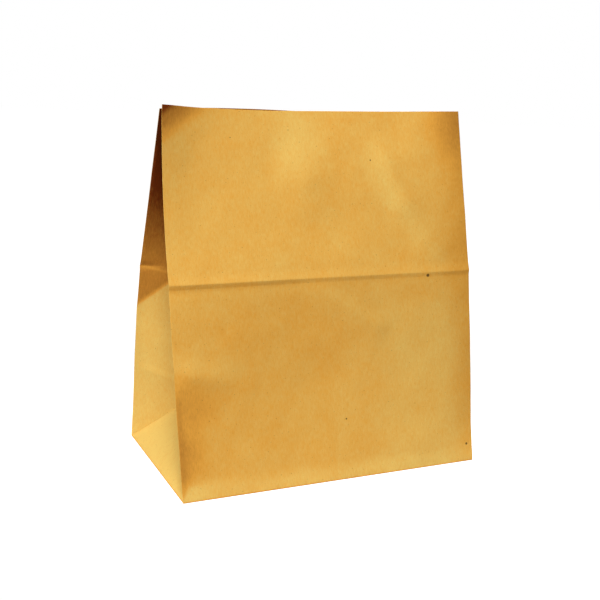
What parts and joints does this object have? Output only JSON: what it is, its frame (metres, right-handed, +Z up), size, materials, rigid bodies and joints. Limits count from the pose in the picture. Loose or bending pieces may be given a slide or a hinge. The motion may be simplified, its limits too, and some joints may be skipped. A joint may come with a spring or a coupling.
{
  "type": "paper bag",
  "caption": "Large brown kraft paper bag with side gussets and a glued block bottom, standing by itself with its mouth pinched to a slit.",
  "frame": {"origin": "middle of the bottom of the object's box, on the floor that the base rests on", "axes": "+Z up from the base to the mouth, -Y towards the wide front panel, +X to the right seen from the front"},
  "size_m": [0.305, 0.1781, 0.3417],
  "materials": {
    "kraft_paper": "uncoated brown kraft, matte, with fine fibres"
  },
  "bodies": {
    "root": {"paper_bag": "kraft_paper"}
  },
  "joints": []
}
